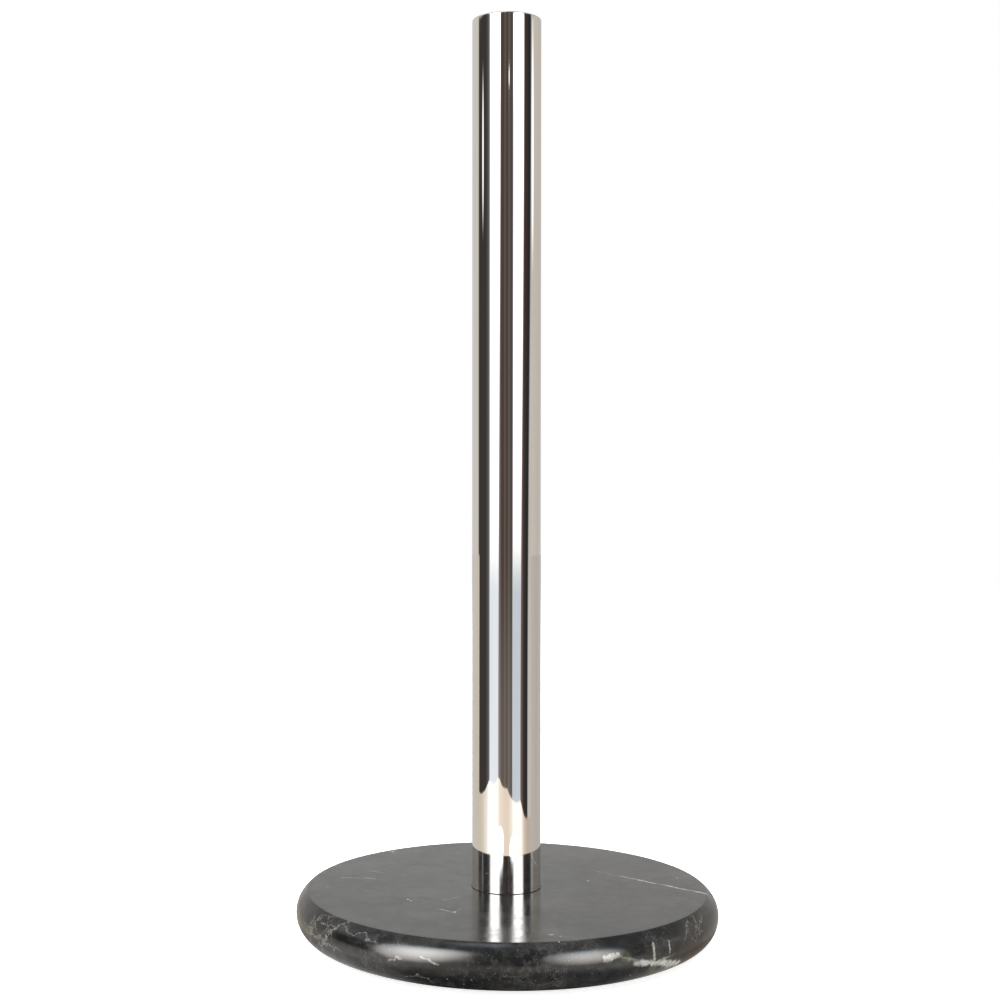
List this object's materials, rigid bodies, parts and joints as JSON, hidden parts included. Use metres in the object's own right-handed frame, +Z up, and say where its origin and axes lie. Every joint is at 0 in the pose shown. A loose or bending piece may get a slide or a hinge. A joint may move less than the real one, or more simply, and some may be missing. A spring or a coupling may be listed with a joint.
{
  "type": "paper towel holder",
  "caption": "Upright countertop paper towel holder: a slim mirror-polished steel post bolted to a round black marble base with a bullnose rim, on rubber feet.",
  "frame": {"origin": "on the table, under the middle of the base, in the plane of the feet's soles", "axes": "+Z up along the post; the part is round about +Z, with the feet on the diagonals between +X and +Y"},
  "size_m": [0.155, 0.155, 0.338],
  "materials": {
    "black_marble": "polished",
    "polished_steel": "polished",
    "turned_steel": "satin",
    "zinc_plated_steel": "satin",
    "spring_steel": "satin",
    "brown_gasket": "matte",
    "black_rubber": "matte"
  },
  "bodies": {
    "root": {"marble_base": "black_marble", "post_tube": "polished_steel", "top_cap": "polished_steel", "threaded_plug": "turned_steel", "seat_gasket": "brown_gasket", "rubber_washer": "black_rubber", "flat_washer": "zinc_plated_steel", "spring_washer": "spring_steel", "fixing_bolt": "zinc_plated_steel", "foot_back_right": "black_rubber", "foot_back_left": "black_rubber", "foot_front_left": "black_rubber", "foot_front_right": "black_rubber"}
  },
  "joints": []
}
